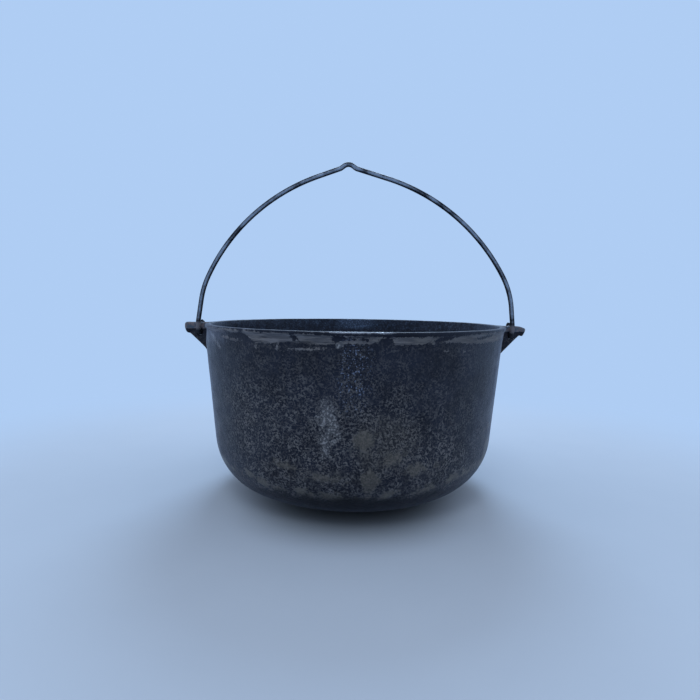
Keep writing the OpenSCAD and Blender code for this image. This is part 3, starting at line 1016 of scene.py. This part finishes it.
# %% Floor
backdrop = (0.43, 0.61, 0.90)
floor_size = 30.0
floor = closed_mesh(
    "floor",
    [(x * floor_size, y * floor_size, 0.0) for x, y in ((-1, -1), (1, -1), (1, 1), (-1, 1))],
    [(0, 1, 2, 3)],
)
stone = Finish("pale_floor")
apart = stone.tree.nodes.new("ShaderNodeVectorMath")
apart.operation = "LENGTH"
stone.put(stone.place, apart.inputs[0])
fade = stone.step(apart.outputs["Value"], 0.30, 0.60)
floor_colour = stone.mix(stone.noise(60 * mm, 4.0, 0.6), (0.50, 0.60, 0.74), (0.53, 0.63, 0.77))
# Painted shadow: a soft dark patch on the floor just in front of the bowl's foot.
in_shade = stone.tree.nodes.new("ShaderNodeVectorMath")
in_shade.operation = "LENGTH"
aside = stone.tree.nodes.new("ShaderNodeMapping")
aside.inputs["Location"].default_value = (0.0, 0.080, 0.0)
aside.inputs["Scale"].default_value = (0.75, 1.0, 1.0)
stone.put(stone.place, aside.inputs["Vector"])
stone.put(aside.outputs[0], in_shade.inputs[0])
painted_shadow = stone.step(in_shade.outputs["Value"], 0.015, 0.080, 0.6, 0.0)
floor_colour = stone.mix(painted_shadow, floor_colour, (0.02, 0.025, 0.03))
stone.finish(floor_colour, 0.8)
stone.shader.inputs["Specular IOR Level"].default_value = 0.2
sky = stone.tree.nodes.new("ShaderNodeEmission")
sky.inputs["Color"].default_value = (*backdrop, 1.0)
seen = stone.tree.nodes.new("ShaderNodeLightPath")
shown = stone.math("MAXIMUM", seen.outputs["Is Camera Ray"], seen.outputs["Is Glossy Ray"])
shown = stone.math("MAXIMUM", shown, seen.outputs["Is Transmission Ray"])
join = stone.tree.nodes.new("ShaderNodeMixShader")
stone.put(stone.math("MULTIPLY", fade, shown), join.inputs[0])
stone.put(stone.shader.outputs[0], join.inputs[1])
stone.put(sky.outputs[0], join.inputs[2])
stone.put(join.outputs[0], stone.tree.nodes["Material Output"].inputs["Surface"])
floor.data.materials.append(stone.material)

# %% World
class Surroundings(Finish):
    """The same helpers, for the network of a world."""

    def __init__(self, world):
        self.tree = world.node_tree


world = bpy.data.worlds.new("studio")
bpy.context.scene.world = world
world.use_nodes = True
room = Surroundings(world)
parts = room.tree.nodes.new("ShaderNodeSeparateXYZ")
room.put(room.tree.nodes.new("ShaderNodeTexCoord").outputs["Generated"], parts.inputs[0])
low = room.step(parts.outputs["Z"], 0.4, 0.95, 1.0, 0.0)
in_front = room.step(parts.outputs["Y"], -0.5, 0.1, 1.0, 0.0)
shaded = room.math("MULTIPLY", room.math("MULTIPLY", low, in_front), 0.5)
beside = room.math("MULTIPLY", room.step(room.math("ABSOLUTE", parts.outputs["X"]), 0.5, 0.9), 0.75)
even = room.tree.nodes["Background"]
even.inputs["Color"].default_value = (0.72, 0.78, 0.88, 1.0)
room.put(room.math("SUBTRACT", room.math("ADD", 0.72, beside), shaded), even.inputs["Strength"])
plain = room.tree.nodes.new("ShaderNodeBackground")
plain.inputs["Color"].default_value = (*backdrop, 1.0)
ray = room.tree.nodes.new("ShaderNodeLightPath").outputs
seen_ray = room.math("MAXIMUM", ray["Is Camera Ray"], ray["Is Glossy Ray"])
seen_ray = room.math("MAXIMUM", seen_ray, ray["Is Transmission Ray"])
choose = room.tree.nodes.new("ShaderNodeMixShader")
room.put(seen_ray, choose.inputs[0])
room.put(even.outputs[0], choose.inputs[1])
room.put(plain.outputs[0], choose.inputs[2])
room.put(choose.outputs[0], room.tree.nodes["World Output"].inputs["Surface"])

# %% Lamps
def soft_lamp(name, place, size, energy, colour):
    """A round soft lamp that shines at the middle of the bowl and isn't seen itself."""
    data = bpy.data.lights.new(name, "AREA")
    data.shape = "DISK"
    data.size = size
    data.energy = energy
    data.color = colour
    lamp = bpy.data.objects.new(name, data)
    bpy.context.scene.collection.objects.link(lamp)
    lamp.location = place
    lamp.rotation_mode = "QUATERNION"
    lamp.rotation_quaternion = (Vector((0, 0, 0.1)) - lamp.location).to_track_quat("-Z", "Y")
    lamp.visible_camera = False


soft_lamp("behind", (0.1, 1.5, 1.5), 1.0, 20, (0.62, 0.80, 1.0))
soft_lamp("front", (-0.15, -0.9, 1.4), 0.6, 2.5, (0.90, 0.95, 1.0))
bpy.context.scene.view_settings.view_transform = "Standard"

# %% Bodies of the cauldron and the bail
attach(cauldron, "cauldron")
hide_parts("cauldron")
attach(bail, "bail")
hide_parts("bail")
